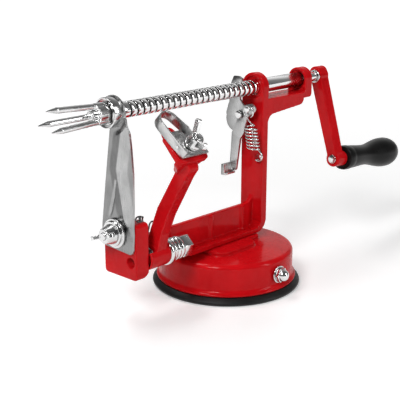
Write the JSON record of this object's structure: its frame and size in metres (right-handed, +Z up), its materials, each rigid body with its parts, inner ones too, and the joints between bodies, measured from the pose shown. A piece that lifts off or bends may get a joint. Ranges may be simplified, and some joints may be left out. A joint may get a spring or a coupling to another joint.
{
  "type": "hand-cranked apple peeler",
  "caption": "Table-top apple peeler on a round suction base: a crank turns a threaded feed shaft with a fork, past a sprung peeling blade and a slicing and coring arm.",
  "frame": {"origin": "on the table under the middle of the round base", "axes": "+X along the feed shaft from the fork to the crank, +Z up, the peeler arm on the -Y side"},
  "size_m": [0.3273, 0.1101, 0.139],
  "materials": {
    "red_paint": "gloss enamel on a casting",
    "plated_steel": "bright plated",
    "sheet_steel": "satin sheet",
    "rubber": "matt",
    "grip_black": "satin black"
  },
  "bodies": {
    "stand": {"rubber_foot": "rubber", "base_housing": "red_paint", "frame": "red_paint", "frame_screws": "plated_steel", "latch_screw": "plated_steel", "latch_spacer": "plated_steel", "latch_spring": "plated_steel", "slicer_stud": "plated_steel", "slicer_washer": "plated_steel", "pivot_bolt": "plated_steel", "pivot_collar": "plated_steel", "arm_spring": "plated_steel", "spring_pin": "plated_steel"},
    "feed_washer": {"thrust_washer": "plated_steel"},
    "drive": {"feed_shaft": "plated_steel", "fork": "plated_steel", "crank_arm": "red_paint", "handle_pin": "plated_steel"},
    "grip": {"handle_grip": "grip_black"},
    "latch": {"latch_plate": "sheet_steel", "latch_stud": "plated_steel"},
    "slicer": {"slicing_arm": "sheet_steel", "coring_tube": "sheet_steel"},
    "slicer_nut": {"slicer_wing_nut": "plated_steel"},
    "peeler": {"peeler_arm": "red_paint", "blade_stud": "plated_steel", "blade_washer": "plated_steel"},
    "blade": {"blade_plate": "sheet_steel", "blade_rivets": "plated_steel", "peeler_blade": "sheet_steel"},
    "blade_nut": {"blade_wing_nut": "plated_steel"},
    "cam": {"cam_shaft": "plated_steel", "cam_washer": "plated_steel", "cam_nut": "plated_steel", "suction_lever": "red_paint"},
    "cup": {"suction_cup": "rubber", "lift_yoke": "sheet_steel"}
  },
  "joints": [
    {"name": "feed_slide", "type": "slide", "parent": "stand", "child": "feed_washer", "axis": [1, 0, 0], "range_m": [0, 0.1]},
    {"name": "crank_turn", "type": "hinge", "parent": "feed_washer", "child": "drive", "pos_m": [0.0952, 0, 0.1293], "axis": [1, 0, 0], "range_deg": [0, 7200]},
    {"name": "grip_spin", "type": "hinge", "parent": "drive", "child": "grip", "pos_m": [0.0952, -0.01772, 0.07062], "axis": [0.9962, 0, -0.0872], "continuous": true},
    {"name": "latch_swing", "type": "hinge", "parent": "stand", "child": "latch", "pos_m": [0.0195, 0.0052, 0.1112], "axis": [-1, 0, 0], "range_deg": [0, 8], "stiffness_Nm_per_rad": 0.06, "springref_deg": -22.92, "deforming": ["latch_spring"]},
    {"name": "slicer_adjust", "type": "hinge", "parent": "stand", "child": "slicer", "pos_m": [-0.0977, 0, 0.057], "axis": [1, 0, 0], "range_deg": [-0.8, 0.8]},
    {"name": "slicer_nut_turn", "type": "hinge", "parent": "stand", "child": "slicer_nut", "pos_m": [-0.105, 0, 0.057], "axis": [1, 0, 0], "continuous": true},
    {"name": "peeler_swing", "type": "hinge", "parent": "stand", "child": "peeler", "pos_m": [-0.078, -0.0104, 0.04], "axis": [1, 0, 0], "range_deg": [0, 35], "stiffness_Nm_per_rad": 0.2, "springref_deg": -34.38, "deforming": ["arm_spring"]},
    {"name": "blade_adjust", "type": "hinge", "parent": "peeler", "child": "blade", "pos_m": [-0.0726, -0.03644, 0.11094], "axis": [0, -0.7193, 0.6947], "range_deg": [-12, 12]},
    {"name": "blade_nut_turn", "type": "hinge", "parent": "peeler", "child": "blade_nut", "pos_m": [-0.0726, -0.03644, 0.11094], "axis": [0, -0.7193, 0.6947], "continuous": true},
    {"name": "suction_turn", "type": "hinge", "parent": "stand", "child": "cam", "pos_m": [0, 0, 0.0155], "axis": [0, -1, 0], "range_deg": [0, 90]},
    {"name": "cup_lift", "type": "slide", "parent": "stand", "child": "cup", "axis": [0, 0, 1], "range_m": [0, 0.003]}
  ],
  "couplings": [
    {"joint": "feed_slide", "follows": "crank_turn", "m_per_rad": 0.00079577},
    {"joint": "cup_lift", "follows": "suction_turn", "m_per_rad": 0.0019098}
  ]
}
